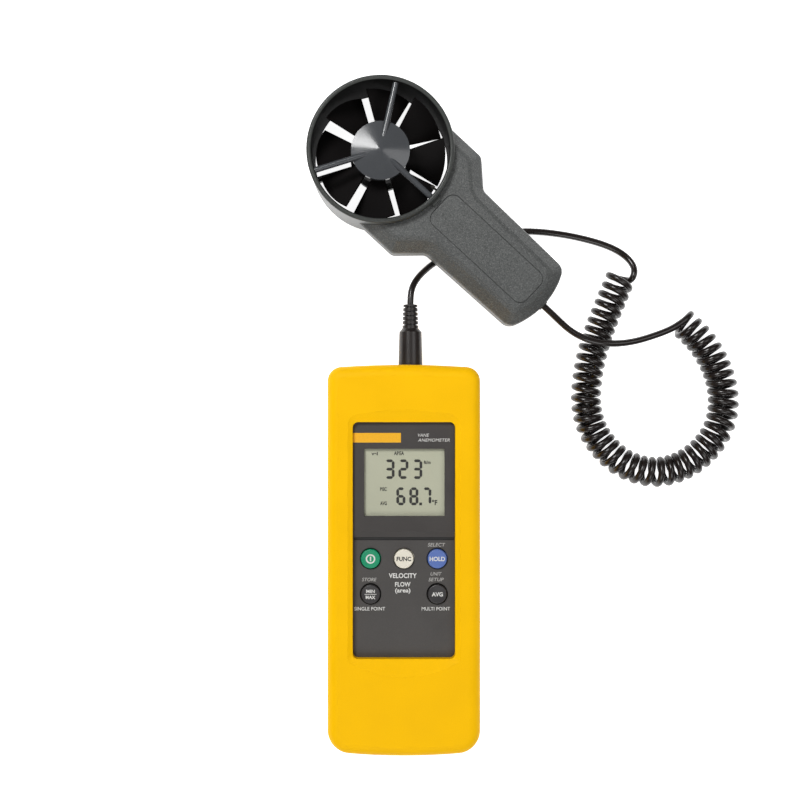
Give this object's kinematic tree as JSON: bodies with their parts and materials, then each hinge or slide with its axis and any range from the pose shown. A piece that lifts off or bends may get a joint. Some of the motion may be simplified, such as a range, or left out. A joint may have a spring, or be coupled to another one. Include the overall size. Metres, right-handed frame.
{
  "type": "vane anemometer",
  "caption": "Hand-held air-speed meter in a yellow rubber boot, with a separate vane probe joined to it by a curly cord and a plug.",
  "frame": {"origin": "centre of the boot's flat back face, on the surface the object lies on", "axes": "+Z out of the display, +Y towards the jack and the probe, +X to the right as the display is read"},
  "size_m": [0.2014, 0.3068, 0.033],
  "materials": {
    "boot_rubber": "satin, moulded, bright yellow",
    "case_black": "fine texture",
    "panel_dark": "fine texture",
    "clear_lens": "clear, flat",
    "lcd_grey": "grey-green display",
    "silicone": "matte",
    "board_green": "solder mask",
    "chip_black": "moulded",
    "battery_wrap": "satin",
    "wire_red": "glossy",
    "steel": "plain",
    "contact_metal": "bright",
    "plug_black": "satin moulded",
    "key_green": "smooth",
    "key_cream": "smooth",
    "key_blue": "smooth",
    "key_dark": "smooth",
    "probe_plastic": "spark-textured, dark grey",
    "spider_grey": "satin gloss grey",
    "vane_black": "smooth black",
    "thermistor_glass": "glassy bead",
    "cord_black": "glossy black sheath"
  },
  "bodies": {
    "meter": {"holster": "boot_rubber", "front_case": "case_black", "rear_case": "case_black", "battery_door": "case_black", "case_screws": "steel", "battery_door_screw": "steel", "display_bezel": "panel_dark", "keypad_panel": "panel_dark", "display_lens": "clear_lens", "lcd_glass": "lcd_grey", "lcd_holder": "panel_dark", "lcd_contact_strips": "silicone", "keypad_mat": "silicone", "main_board": "board_green", "board_components": "chip_black", "board_screws": "steel", "battery": "battery_wrap", "battery_snap": "chip_black", "battery_leads": "wire_red", "sensor_jack": "plug_black", "jack_contacts": "contact_metal"},
    "power_key": {"power_button": "key_green"},
    "func_key": {"func_button": "key_cream"},
    "hold_key": {"hold_button": "key_blue"},
    "min_max_key": {"min_max_button": "key_dark"},
    "average_key": {"average_button": "key_dark"},
    "probe": {"plug_barrel": "plug_black", "plug_shell": "contact_metal", "plug_insulator": "plug_black", "plug_pins": "contact_metal", "plug_strain_relief": "plug_black", "lead_to_plug": "cord_black", "coil_cord": "cord_black", "lead_to_handle": "cord_black", "cord_gland": "plug_black", "cable_clamp": "plug_black", "inner_cable": "cord_black", "duct_ring": "probe_plastic", "front_spider": "spider_grey", "rear_spider": "probe_plastic", "front_bearing": "contact_metal", "rear_bearing": "contact_metal", "handle_front_shell": "probe_plastic", "handle_rear_shell": "probe_plastic", "handle_screws": "steel", "grip_badge": "probe_plastic", "pickup_board": "board_green", "pickup_sensor": "chip_black", "thermistor": "thermistor_glass"},
    "vane": {"impeller": "vane_black", "impeller_shaft": "steel", "vane_magnets": "steel"}
  },
  "joints": [
    {"name": "power_press", "type": "slide", "parent": "meter", "child": "power_key", "axis": [0, 0, -1], "range_m": [0, 0.0008], "stiffness_N_per_m": 400},
    {"name": "func_press", "type": "slide", "parent": "meter", "child": "func_key", "axis": [0, 0, -1], "range_m": [0, 0.0008], "stiffness_N_per_m": 400},
    {"name": "hold_press", "type": "slide", "parent": "meter", "child": "hold_key", "axis": [0, 0, -1], "range_m": [0, 0.0008], "stiffness_N_per_m": 400},
    {"name": "min_max_press", "type": "slide", "parent": "meter", "child": "min_max_key", "axis": [0, 0, -1], "range_m": [0, 0.0008], "stiffness_N_per_m": 400},
    {"name": "average_press", "type": "slide", "parent": "meter", "child": "average_key", "axis": [0, 0, -1], "range_m": [0, 0.0008], "stiffness_N_per_m": 400},
    {"name": "probe_unplug", "type": "slide", "parent": "meter", "child": "probe", "axis": [0, 1, 0], "range_m": [0, 0.02]},
    {"name": "vane_spin", "type": "hinge", "parent": "probe", "child": "vane", "pos_m": [-0.0106, 0.1853, 0.015], "axis": [0, 0, 1], "continuous": true}
  ]
}
